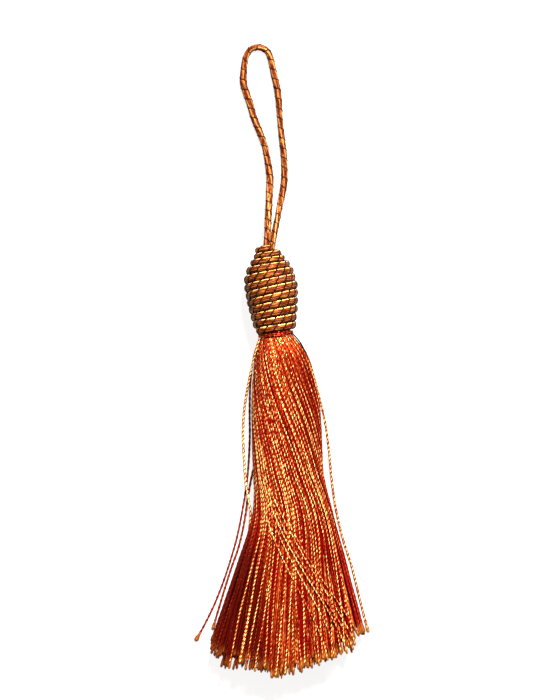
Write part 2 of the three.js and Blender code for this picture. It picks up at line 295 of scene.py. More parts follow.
def put_mesh(name: str, sweep: Sweep, finish: Material) -> bpy.types.Object:
    """Makes one closed mesh of swept tubes, with its maps and shades, and dresses it.

    Formula: the map named thread has the share round the tube, times the repeats, and the millimetres along
    it, with APART between one tube's start and the next one's. The map named OFBake lays each tube in strips
    of its own across the whole image, with a little room round each.

    Args:
        name: the piece's name.
        sweep: the tubes.
        finish: the material.

    Returns:
        The new object, riding on the part.
    """
    tubes, rings, corners = sweep.points.shape[:3]
    faces, numbers = tube_faces(tubes, rings, corners)
    mesh = bpy.data.meshes.new(name)
    mesh.from_pydata(sweep.points.reshape(-1, 3), [], faces)
    tube, ring, corner = numbers[..., 0], numbers[..., 1], numbers[..., 2] / corners
    thread_map = np.stack([corner * sweep.repeats, sweep.along[tube, ring] / MM + APART * tube], -1)
    rows = sweep.rows_per_tube
    place = ring / (rings - 1) * rows
    row = np.minimum(place.min(axis=1, keepdims=True).astype(int), rows - 1)
    strip = (tube * rows + row + STRIP_ROOM + (1 - 2 * STRIP_ROOM) * corner) / (tubes * rows)
    bake_map = np.stack([EDGE_ROOM + (1 - 2 * EDGE_ROOM) * np.clip(place - row, 0, 1), strip], -1)
    for title, places in ((THREAD_MAP, thread_map), ("OFBake", bake_map)):
        layer = mesh.uv_layers.new(name=title, do_init=False)
        layer.uv.foreach_set("vector", places.astype(np.float32).ravel())
    for title, values in sweep.shades.items():
        spread = np.broadcast_to(values, (tubes, rings, corners)).astype(np.float32).ravel()
        mesh.attributes.new(title, "FLOAT", "POINT").data.foreach_set("value", spread)
    mesh.polygons.foreach_set("use_smooth", np.ones(len(faces), dtype=bool))
    mesh.materials.append(finish)
    mesh.validate()
    mesh.update()
    piece = bpy.data.objects.new(name, mesh)
    bpy.context.scene.collection.objects.link(piece)
    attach(piece, "root")
    log.info("%s: %d tubes, %d triangles", name, tubes, 2 * len(faces))
    return piece


# ---- finishes ----


Colour = tuple[float, float, float]


def as_rgba(colour: Colour) -> tuple[float, float, float, float]:
    """Adds a full alpha to a colour."""
    return (*colour, 1.0)


class Recipe:
    """A material's nodes, put down and joined one at a time."""

    def __init__(self, name: str) -> None:
        """Starts a material with a bare principled shader.

        Args:
            name: the material's name.
        """
        self.material = bpy.data.materials.new(name)
        self.material.use_nodes = True
        self.tree = self.material.node_tree
        self.shader = self.tree.nodes["Principled BSDF"]

    def put(self, kind: str, **settings: object) -> bpy.types.Node:
        """Adds a node.

        Args:
            kind: Blender's name for it.
            settings: its properties.

        Returns:
            The node.
        """
        node = self.tree.nodes.new(kind)
        for name, value in settings.items():
            setattr(node, name, value)
        return node

    def join(self, source: Socket, target: Socket) -> None:
        """Joins an output to an input."""
        self.tree.links.new(source, target)

    def shade(self, name: str) -> Socket:
        """Reads one of the piece's own point shades."""
        return self.put("ShaderNodeAttribute", attribute_name=name).outputs["Fac"]

    def plies(self, number: int, sharpness: float) -> Socket:
        """Gives 1 along the crest of each ply and 0 where two plies meet.

        Args:
            number: how many plies lie round the thread.
            sharpness: how quickly the crests fall away.

        Returns:
            The height, from 0 to 1.
        """
        places, apart = self.put("ShaderNodeUVMap", uv_map=THREAD_MAP), self.put("ShaderNodeSeparateXYZ")
        self.join(places.outputs["UV"], apart.inputs["Vector"])
        turned = self.reckon("MULTIPLY", apart.outputs["X"], number * math.pi)
        return self.reckon("POWER", self.reckon("ABSOLUTE", self.reckon("COSINE", turned)), sharpness)

    def streaks(self, across: float, along: float, detail: float) -> Socket:
        """Draws fine filaments that follow the thread.

        Args:
            across: how many streaks lie round the thread, roughly.
            along: how many times a streak changes in a millimetre.
            detail: octaves of the noise.

        Returns:
            The noise, from 0 to 1.
        """
        places = self.put("ShaderNodeUVMap", uv_map=THREAD_MAP)
        stretch = self.put("ShaderNodeMapping")
        stretch.inputs["Scale"].default_value = (across, along, 1)
        noise = self.put("ShaderNodeTexNoise")
        noise.inputs["Scale"].default_value = 1
        noise.inputs["Detail"].default_value = detail
        self.join(places.outputs["UV"], stretch.inputs["Vector"])
        self.join(stretch.outputs["Vector"], noise.inputs["Vector"])
        return noise.outputs["Fac"]

    def reckon(self, way: str, *values: float | Socket) -> Socket:
        """Works out a sum, a product or another function.

        Args:
            way: the math node's operation.
            values: one or two numbers or outputs.

        Returns:
            The result.
        """
        node = self.put("ShaderNodeMath", operation=way)
        for socket, value in zip(node.inputs, values):
            if isinstance(value, Socket):
                self.join(value, socket)
            else:
                socket.default_value = value
        return node.outputs["Value"]

    def within(self, value: Socket, low: float, high: float, to_low: float = 0, to_high: float = 1) -> Socket:
        """Maps a range smoothly to another one.

        Args:
            value: what to map.
            low, high: the range it is read over, beyond which it stays as at its ends.
            to_low, to_high: what those two become.

        Returns:
            The mapped value.
        """
        node = self.put("ShaderNodeMapRange", interpolation_type="SMOOTHSTEP")
        for name, number in (("From Min", low), ("From Max", high), ("To Min", to_low), ("To Max", to_high)):
            node.inputs[name].default_value = number
        self.join(value, node.inputs["Value"])
        return node.outputs["Result"]

    def blend(self, share: Socket, first: Colour | Socket, second: Colour | Socket) -> Socket:
        """Mixes two colours.

        Args:
            share: how much of the second.
            first: a colour, or the output that gives it.
            second: the same.

        Returns:
            The mixed colour.
        """
        node = self.put("ShaderNodeMix", data_type="RGBA")
        self.join(share, node.inputs["Factor"])
        for socket, colour in ((node.inputs[6], first), (node.inputs[7], second)):
            if isinstance(colour, tuple):
                socket.default_value = as_rgba(colour)
            else:
                self.join(colour, socket)
        return node.outputs[2]

    def colour(self, source: Socket) -> None:
        """Colours the shader by an output."""
        self.join(source, self.shader.inputs["Base Color"])

    def roughen(self, source: Socket, *limits: float) -> None:
        """Sets the shader's roughness by an output, mapped as within does."""
        self.join(self.within(source, *limits), self.shader.inputs["Roughness"])

    def raise_by(self, height: Socket, distance: float, strength: float) -> None:
        """Bends the shader's normals by a height.

        Args:
            height: from 0 to 1.
            distance: how high 1 stands, in metres.
            strength: how much of it shows.
        """
        bump = self.put("ShaderNodeBump")
        bump.inputs["Distance"].default_value = distance
        bump.inputs["Strength"].default_value = strength
        self.join(height, bump.inputs["Height"])
        self.join(bump.outputs["Normal"], self.shader.inputs["Normal"])

    def settle(self, **values: object) -> Material:
        """Sets the shader's own sockets.

        Args:
            values: the sockets' values by name, with spaces written as underscores.

        Returns:
            The finished material.
        """
        for name, value in values.items():
            self.shader.inputs[name.replace("_", " ")].default_value = value
        return self.material


@dataclass(frozen=True)
class SilkFinish:
    """Three-ply silk: a pale golden painted highlight where a ply stands up to the light, and brick red,
    deepened as painted shade, where the plies meet.
    """

    name: str = "twisted_silk"
    # valley_dark: the red in painted shade, for threads whose tone is low, mostly at the lower left and close
    # under the head
    valley_dark: Colour = (0.036, 0.0015, 0.0008)
    valley_red: Colour = (0.142, 0.0004, 0.001)
    flank: Colour = (0.42, 0.070, 0.008)
    # crest: painted highlight, the pale golden colour that a ply shows where it faces the light
    crest: Colour = (1.0, 0.76, 0.25)
    cut_end: Colour = (0.21, 0.058, 0.010)
    # cut_crest: painted highlight on the cut ends
    cut_crest: Colour = (0.52, 0.25, 0.055)
    roughness: float = 0.28
    filaments: int = 20
    plies: int = 3
    ply_sharpness: float = 2.5

    def material(self) -> Material:
        """Builds the finish from the piece's gleam, tone and cut shades and fine streaks along the thread.

        Formula: the gleam, a painted highlight, is multiplied by broad glints, which make it brighter and
        dimmer at random, and by the crests of the plies. As it rises, the valley's red, which is brighter the
        higher the tone and darker where the tone carries painted shade, turns to the flank's and then to the
        crest's pale golden painted highlight. Dark streaks lie over that, and the cut ends have two colours of
        their own, of which cut_crest is a painted highlight too.

        Returns:
            The material.
        """
        recipe = Recipe(self.name)
        streaks = recipe.streaks(self.filaments, 0.5, 3)
        # glints: painted highlight, made brighter and dimmer at random along the thread
        glints = recipe.within(recipe.streaks(3, 0.7, 1), 0.34, 0.66, 0.75, 1.3)
        plies = recipe.within(recipe.plies(self.plies, self.ply_sharpness), 0.0, 0.85, 0.25, 1.02)
        gleam = recipe.reckon("MULTIPLY", recipe.reckon("MULTIPLY", recipe.shade("gleam"), glints), plies)
        tone = recipe.within(recipe.shade("tone"), 0.0, 1.0)
        valley = recipe.blend(tone, self.valley_dark, self.valley_red)
        body = recipe.blend(recipe.within(gleam, 0.16, 0.46), valley, self.flank)
        crested = recipe.blend(recipe.within(gleam, 0.47, 0.70), body, self.crest)
        streaked = recipe.blend(recipe.within(streaks, 0.32, 0.6, 0.35, 0), crested, self.valley_red)
        end = recipe.blend(recipe.within(gleam, 0.3, 0.9), self.cut_end, self.cut_crest)
        recipe.colour(recipe.blend(recipe.shade("cut"), streaked, end))
        recipe.roughen(streaks, 0.3, 0.75, 0.5, self.roughness - 0.06)
        recipe.raise_by(streaks, 0.05 * MM, 0.5)
        return recipe.settle(Metallic=0.6, Specular_IOR_Level=0.15, Specular_Tint=as_rgba((1.0, 0.6, 0.2)))


@dataclass(frozen=True)
class GimpFinish:
    """Gimp cord: smooth yarns of several browns and golds laid side by side, nearly black as painted shade
    where two meet.
    """

    name: str = "gimp_cord"
    # groove: painted shade, nearly black, in the grooves between yarns and on the cord's downward side
    groove: Colour = (0.02, 0.001, 0.001)
    brown: Colour = (0.050, 0.004, 0.001)
    middle: Colour = (0.105, 0.014, 0.002)
    amber: Colour = (0.33, 0.105, 0.018)
    # golden: the brightest yarn colour; on the head it is a painted highlight along the top of each turn
    golden: Colour = (0.95, 0.58, 0.17)
    roughness: float = 0.42
    filaments: int = 30

    def material(self) -> Material:
        """Builds the finish from the piece's crest and gold shades and fine streaks along the cord.

        Formula: the yarn's colour follows its gold, from brown through middle to golden, where golden is
        partly a painted highlight, and falls to the groove's painted shade where the crest is low. Bright
        streaks of amber and dark ones lie over it.

        Returns:
            The material.
        """
        recipe = Recipe(self.name)
        streaks = recipe.streaks(self.filaments, 0.45, 2)
        crest, gold = recipe.shade("crest"), recipe.shade("gold")
        browns = recipe.blend(recipe.within(gold, 0.0, 0.55), self.brown, self.middle)
        yarn = recipe.blend(recipe.within(gold, 0.5, 1.0), browns, self.golden)
        body = recipe.blend(recipe.within(crest, 0.0, 0.7), self.groove, yarn)
        glints = recipe.blend(recipe.within(streaks, 0.54, 0.66, 0, 0.8), body, self.amber)
        recipe.colour(recipe.blend(recipe.within(streaks, 0.34, 0.49, 0.95, 0), glints, self.groove))
        recipe.roughen(streaks, 0.3, 0.7, 0.55, self.roughness - 0.06)
        recipe.raise_by(streaks, 0.08 * MM, 0.8)
        return recipe.settle(Metallic=0.25, Specular_IOR_Level=0.06, Specular_Tint=as_rgba((1.0, 0.7, 0.35)))


@dataclass(frozen=True)
class BindingFinish:
    """The fine dark thread that binds the gimp cord, with a few paler fibres."""

    name: str = "dark_binding_thread"
    dark: Colour = (0.003, 0.0015, 0.001)
    pale: Colour = (0.06, 0.035, 0.015)

    def material(self) -> Material:
        """Builds the finish from streaks along the thread.

        Returns:
            The material.
        """
        recipe = Recipe(self.name)
        streaks = recipe.streaks(5, 1.6, 2)
        recipe.colour(recipe.blend(recipe.within(streaks, 0.58, 0.72, 0, 0.8), self.dark, self.pale))
        recipe.raise_by(streaks, 0.03 * MM, 0.4)
        return recipe.settle(Roughness=0.8, Specular_IOR_Level=0.03)


# ---- the studio ----


@dataclass(frozen=True)
class SoftLight:
    """A square light: its name, its place, the length of its side, its watts and its colour."""

    name: str
    at: tuple[float, float, float]
    side: float
    watts: float
    colour: Colour

    def hang(self, middle: tuple[float, float]) -> None:
        """Hangs the light.

        Args:
            middle: the spot on the floor that it faces.
        """
        data = bpy.data.lights.new(self.name, "AREA")
        data.size, data.energy, data.color = self.side, self.watts, self.colour
        light = bpy.data.objects.new(self.name, data)
        light.location = self.at
        towards = Vector((*middle, 0)) - Vector(self.at)
        light.rotation_euler = towards.to_track_quat("-Z", "Y").to_euler()
        bpy.context.scene.collection.objects.link(light)


@dataclass
class Studio:
    """A pale floor, soft lights from the upper right and a camera that looks straight down."""

    middle: tuple[float, float] = (2.125 * MM, -15.875 * MM)
    view_height: float = 175 * MM
    lens: float = 135.0
    focus_height: float = 5 * MM
    floor_side: float = 4.0
    floor_colour: Colour = (0.12, 0.12, 0.12)
    floor_glow: float = 0.88
    sky: Colour = (1.0, 0.84, 0.66)
    sky_strength: float = 0.22
    lights: tuple[SoftLight, ...] = (
        SoftLight("key", (0.16, 0.50, 0.62), 0.18, 50.0, (1.0, 0.97, 0.92)),
        SoftLight("fill", (-0.5, 0.1, 0.9), 0.9, 3.4, (1.0, 0.80, 0.58)),
    )

    def place_camera(self) -> None:
        """Sets the camera over the middle of the view, as far up as its lens needs for the view's height."""
        data = bpy.data.cameras.new("camera")
        data.lens = self.lens
        camera = bpy.data.objects.new("camera", data)
        distance = self.view_height * self.lens / data.sensor_width
        camera.location = (*self.middle, self.focus_height + distance)
        data.clip_start, data.clip_end = 0.01, 20
        bpy.context.scene.collection.objects.link(camera)
        bpy.context.scene.camera = camera

    def place_floor(self) -> None:
        """Lays a plain square under the tassel."""
        half = self.floor_side / 2
        corners = [(-half, -half, 0), (half, -half, 0), (half, half, 0), (-half, half, 0)]
        mesh = bpy.data.meshes.new("floor")
        mesh.from_pydata(corners, [], [(0, 1, 2, 3)])
        recipe = Recipe("pale_floor")
        glow = {"Emission_Color": as_rgba((1.0, 1.0, 1.0)), "Emission_Strength": self.floor_glow}
        mesh.materials.append(recipe.settle(Base_Color=as_rgba(self.floor_colour), Roughness=0.9, **glow))
        floor = bpy.data.objects.new("floor", mesh)
        bpy.context.scene.collection.objects.link(floor)

    def light_up(self) -> None:
        """Sets the lights, the sky and the way that brightness is shown."""
        for light in self.lights:
            light.hang(self.middle)
        world = bpy.data.worlds.new("studio")
        world.use_nodes = True
        background = world.node_tree.nodes["Background"]
        background.inputs["Color"].default_value = as_rgba(self.sky)
        background.inputs["Strength"].default_value = self.sky_strength
        bpy.context.scene.world = world
        bpy.context.scene.view_settings.view_transform = "Standard"

    def build(self) -> None:
        """Sets up the whole studio."""
        self.place_camera()
        self.place_floor()
        self.light_up()


# ---- the gimp cord ----


@dataclass(frozen=True)
class Gimp:
    """A cord of smooth yarns laid side by side, bound by a fine dark thread."""

    # golden yarns among brown ones, spaced so that one lies near the cord's top all along, as a painted
    # highlight
    yarn_gold_and_sheen: tuple[float, ...] = (0.66, 0.0, 0.0, 0.6, 0.0, 0.0, 0.64, 0.0, 0.0, 0.6, 0.0, 0.0)
    yarn_depth: float = 0.12
    yarn_pitch: float = 46 * MM
    corners: int = 48
    # dark_up_to: below this height round the ring the crest fades into painted shade
    dark_up_to: float = 0.22
    binding_pitch: float = 2.5 * MM
    binding_starts: int = 1
    binding_radius: float = 0.14 * MM
    binding_bite: float = 0.05
    binding_steps: int = 14
    binding_corners: int = 6

    def section(self, along: Array, wide: Array, high: Array) -> tuple[Array, dict[str, Array]]:
        """Works out the cord's rings.

        Formula: the crown is the root-like power of the cosine of half the angle, counted from a yarn's
        turned middle, times the number of yarns, so that it is 1 on a yarn and 0 where two meet. The ring is
        an ellipse, less yarn_depth where the crown is 0, and less binding_bite near the binding thread. The
        crest is the crown, so that the grooves between yarns get painted shade, faded out into painted shade
        on the side that faces down, where the height is under dark_up_to.

        Args:
            along: length along the cord, [places].
            wide: half the cord's width, [places].
            high: half its height, [places].

        Returns:
            The rings, [places, corners, 2], and two shades for each point: crest, how far it stands up from
            the grooves, with painted shade in them and on the side that faces down, and gold, how golden its
            yarn is painted, partly a yarn colour and partly a painted highlight.
        """
        angle = angles_round(self.corners)[None]
        turned = angle - TURN * along[:, None] / self.yarn_pitch
        yarns = len(self.yarn_gold_and_sheen)
        crown = np.abs(np.cos(yarns * turned / 2)) ** 0.6
        yarn = np.round(yarns * turned / TURN).astype(int) % yarns
        starts = self.binding_starts
        bound = angle - TURN * along[:, None] / self.binding_pitch
        off_binding = (starts * bound + math.pi) % TURN - math.pi
        bite = self.binding_bite * np.exp(-((off_binding / starts / 0.5) ** 2))
        reach = 1 - self.yarn_depth * (1 - crown) - bite
        rings = ellipse(angle, wide[:, None], high[:, None])
        # painted shade: 0 in the grooves between yarns, fading out on the side that faces down
        crest = crown * soft_step(self.dark_up_to, 0.6, np.sin(angle))
        return rings * reach[..., None], {"crest": crest, "gold": np.array(self.yarn_gold_and_sheen)[yarn]}

    def binding(self, path: Array, outward: Array, wide: Array, high: Array) -> Sweep:
        """Winds the dark thread round a cord, with one or more starts.

        Formula: its middle lies on the cord's ring at an angle that turns once in each binding_pitch. A
        second start lies half a turn from the first, and so on.

        Args:
            path: the cord's middle, [places, 3].
            outward: the direction of the rings' height, [places, 3].
            wide: half the cord's width, [places].
            high: half its height, [places].

        Returns:
            The thread, one tube for each start.
        """
        along = lengths_along(path)
        count = int(along[-1] / self.binding_pitch * self.binding_steps)
        wanted = np.linspace(0, along[-1], count)
        start = np.arange(self.binding_starts)[:, None] / self.binding_starts
        angle = TURN * (wanted / self.binding_pitch + start)

        def at(values: Array) -> Array:
            return np.stack([np.interp(wanted, along, v) for v in values.T], -1)[None]

        sunk = 1 - self.binding_bite * 0.6
        half_wide, half_high = sunk * at(wide[:, None])[..., 0], sunk * at(high[:, None])[..., 0]
        spot = ellipse(angle, half_wide, half_high)
        core, up = (np.broadcast_to(at(v), spot.shape[:2] + (3,)) for v in (path, outward))
        middle = carry(core, up, spot[:, :, None])[:, :, 0]
        points = carry(middle, middle - core, round_rings(self.binding_radius, self.binding_corners, middle))
        points[..., 2] = np.maximum(points[..., 2], 0)
        rows = max(1, int(along[-1] / (25 * MM)))
        return Sweep(points, lengths_along(middle), {}, rows)


@dataclass
class HangingLoop:
    """The cord bent double. Both ends go into the top of the head, and the rest lies on the surface."""

    gimp: Gimp
    diameter: float = 1.6 * MM
    step: float = 0.3 * MM
    route: tuple[tuple[float, float, float], ...] = (
        (-0.00135, 0.0085, 0.0069), (-0.0013, 0.00985, 0.0069), (-0.001, 0.0128, 0.0066),
        (-0.00085, 0.0164, 0.0054), (-0.00065, 0.0201, 0.0038), (-0.0005, 0.0238, 0.0023),
        (-0.0004, 0.0271, 0.00135), (-0.0007, 0.03, 0.0009), (-0.00115, 0.0326, 0.0008),
        (-0.00165, 0.0352, 0.0008), (-0.0025, 0.0377, 0.0008), (-0.00355, 0.0403, 0.0008),
        (-0.00455, 0.0429, 0.0008), (-0.00535, 0.0458, 0.0008), (-0.00625, 0.0484, 0.0008),
        (-0.007, 0.0509, 0.0008), (-0.0071, 0.053, 0.0008), (-0.0069, 0.0552, 0.0008),
        (-0.00665, 0.0572, 0.0008), (-0.00595, 0.059, 0.0008), (-0.0048, 0.06005, 0.0008),
        (-0.0032, 0.0603, 0.0008), (-0.00165, 0.05975, 0.0008), (-0.0006, 0.0585, 0.0008),
        (0.0, 0.0564, 0.0008), (0.0006, 0.0535, 0.0008), (0.0013, 0.0505, 0.0008),
        (0.00175, 0.0474, 0.0008), (0.002, 0.0439, 0.0008), (0.0023, 0.0402, 0.0008),
        (0.0027, 0.0366, 0.0008), (0.0031, 0.0328, 0.0008), (0.00325, 0.0294, 0.0008),
        (0.00315, 0.0262, 0.0009), (0.00265, 0.0232, 0.0013), (0.0021, 0.0205, 0.0021),
        (0.00165, 0.0179, 0.0031), (0.00115, 0.0154, 0.0042), (0.0006, 0.0127, 0.00515),
        (0.00005, 0.00985, 0.0057), (-0.00005, 0.0085, 0.00575),
    )

    def build(self, cord_finish: Material, binding_finish: Material) -> None:
        """Formula: half its thickness is half the diameter times 1.02, give or take a small wave, and a little
        more on its first 45 to 60 mm. Its middle is nowhere lower than that half thickness.

        Args:
            cord_finish: the cord's material.
            binding_finish: the dark thread's material.
        """
        path = even_route(np.array(self.route), self.step)
        along = lengths_along(path)
        uneven = waves(np.random.default_rng(3), 1, np.linspace(0, 9, len(path))[None], 3)[0]
        swell = 1.02 + 0.05 * uneven + 0.08 * soft_step(60 * MM, 45 * MM, along)
        half = self.diameter / 2 * swell
        path[:, 2] = np.maximum(path[:, 2], half)
        rings, shades = self.gimp.section(along, half, half)
        points = carry(path, upwards(path), rings)[None]
        cord = put_mesh("loop_cord", Sweep(points, along[None], shades, 6), cord_finish)
        binding = self.gimp.binding(path, upwards(path), half, half)
        thread = put_mesh("loop_binding_thread", binding, binding_finish)
        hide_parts("hanging_loop")
        log.info("the loop's cord is %.1f mm long", along[-1] / MM)


# ---- the wound head ----


@dataclass(frozen=True)
class HeadForm:
    """The head's own axes and its outline."""

    lean: float = math.radians(5.2)
    axis_height: float = 6.35 * MM
    widest: float = 11.6 * MM
    outline: Table = Table(
        ("along", "radius", "turn", "tilt", "aside"),
        (
            (0.0, 0.0050, 0.35, 0.0, 0.0),
            (0.00225, 0.00535, 1.6, 0.01, 0.0),
            (0.0059, 0.00605, 3.5, 0.04, 0.0),
            (0.00965, 0.0065, 5.5, 0.075, -0.00005),
            (0.0116, 0.0066, 6.5, 0.08, -0.0001),
            (0.0135, 0.0064, 7.5, 0.06, -0.0004),
            (0.0154, 0.00595, 8.5, 0.02, -0.00025),
            (0.0172, 0.0049, 9.5, -0.01, -0.0001),
            (0.0188, 0.0038, 10.5, -0.03, -0.0001),
            (0.0202, 0.0032, 11.5, -0.04, -0.0001),
            (0.0217, 0.0030, 12.4, -0.04, -0.0002),
        ),
    )

    def place(self, along: Array, right: Array, up: Array) -> Array:
        """Finds points by the head's own axes.

        Args:
            along: how far along its axis, from its lower end.
            right: how far to the right of the axis.
            up: how far above it.

        Returns:
            The points, [..., 3].
        """
        forward = along - self.widest
        x = right * math.cos(self.lean) - forward * math.sin(self.lean)
        y = right * math.sin(self.lean) + forward * math.cos(self.lean)
        return np.stack([x, y, self.axis_height + up], -1)


@dataclass
class WoundHead:
    """Turns of gimp cord wound to an acorn shape, over a plain underlayer, nearly black as painted shade, that
    shows only in chinks.
    """

    form: HeadForm
    gimp: Gimp
    first_turn: float = 0.3
    last_turn: float = 11.62
    half_height: float = 0.76 * MM
    steps_per_turn: int = 84
    tucked_turns: float = 0.16
    tucked_depth: float = 0.9 * MM
    sway: float = 0.05 * MM
    corners_round: int = 72
    underlayer_rings: int = 60
    underlayer_short: float = 0.5 * MM
    underlayer_rounding: float = 0.6 * MM

    def winding(self) -> tuple[Array, Array, Array, Array]:
        """Works out the cord's course round the head.

        Formula: after t turns the cord lies at angle t times a full turn from the underside, at the place
        along the axis where the table counts t + 1/2 turns, tilted by the table's tilt times its distance
        to the right, and at the outline's radius less half the cord's height. It is a little wider than the
        turn's pitch, flatter where the pitch is small, and its last stretch is tucked in.

        Returns:
            The cord's middle and outward direction, [places, 3], and half its width and height, [places].
        """
        count = int((self.last_turn - self.first_turn) * self.steps_per_turn)
        turn = np.linspace(self.first_turn, self.last_turn, count)
        rng = np.random.default_rng(11)
        sway = waves(rng, 1, np.linspace(0, 24, count)[None], 3)[0]
        swell = waves(rng, 1, np.linspace(0, 30, count)[None], 3)[0]
        outline = self.form.outline
        along = outline.read("turn", "along", turn + 0.5)
        pitch = outline.read("turn", "along", turn + 1.0) - outline.read("turn", "along", turn)
        high = self.half_height * (0.84 + 0.16 * soft_step(0, 1.6 * MM, pitch)) * (1 + 0.03 * swell)
        tucked = soft_step(self.last_turn - self.tucked_turns, self.last_turn, turn)
        radius = outline.read("along", "radius", along) - high + self.sway * sway - self.tucked_depth * tucked
        angle = TURN * turn
        right, up = -radius * np.sin(angle), -radius * np.cos(angle)
        tilt = outline.read("along", "tilt", along)
        aside = outline.read("along", "aside", along)
        path = self.form.place(along + tilt * right + 0.07 * MM * sway, right + aside, up)
        outward = self.form.place(along, right, up) - self.form.place(along, 0 * right, 0 * up)
        return path, outward, 0.52 * pitch * (1 + 0.04 * swell), high

    def underlayer(self) -> Sweep:
        """Turns the outline round the head's axis.

        Formula: its radius is the outline's less 1.5 times half the cord's height, and it rounds off at both
        ends.

        Returns:
            The underlayer as one closed tube.
        """
        outline = self.form.outline
        short = self.underlayer_short
        along = np.linspace(short, outline.column("along")[-1] - short, self.underlayer_rings)
        radius = outline.read("along", "radius", along) - 1.5 * self.half_height
        to_end = np.minimum(along - along[0], along[-1] - along)
        closed = np.sqrt(np.clip(to_end / self.underlayer_rounding, 0.02, 1))
        angle = angles_round(self.corners_round)[None]
        ring = (radius * closed)[:, None]
        points = self.form.place(along[::-1, None], ring[::-1] * np.cos(angle), ring[::-1] * np.sin(angle))
        # crest and gold of 0 give the underlayer the groove's colour: painted shade in the chinks between
        # turns
        return Sweep(points[None], along[None], {"crest": np.zeros(1), "gold": np.zeros(1)}, 1)

    def build(self, cord_finish: Material, binding_finish: Material) -> None:
        """Winds the cord and its binding thread over the underlayer.

        Args:
            cord_finish: the cord's material.
            binding_finish: the dark thread's material.
        """
        path, outward, wide, high = self.winding()
        along = lengths_along(path)
        rings, shades = self.gimp.section(along, wide, high)
        points = carry(path, outward, rings)
        points[..., 2] = np.maximum(points[..., 2], 0)
        cord = put_mesh("head_cord", Sweep(points[None], along[None], shades, 14), cord_finish)
        bound = self.gimp.binding(path, outward, wide, high)
        thread = put_mesh("head_binding_thread", bound, binding_finish)
        under = put_mesh("head_underlayer", self.underlayer(), cord_finish)
        for piece in (cord, thread, under):
            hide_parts("head_winding")


# ---- the skirt ----


ROOT = -1.5 * MM  # how far below the head the threads and the core begin: a little inside it
TWIST, TWISTING = 0.25, (-8 * MM, 52 * MM)  # how far round the bundle the threads are turned, and where


class Make(Enum):
    """How finely a thread is modelled: corners of its ring and millimetres between two rings."""

    SHOWN = (8, 0.42)
    HALF_HIDDEN = (6, 0.55)
    BURIED = (6, 0.8)


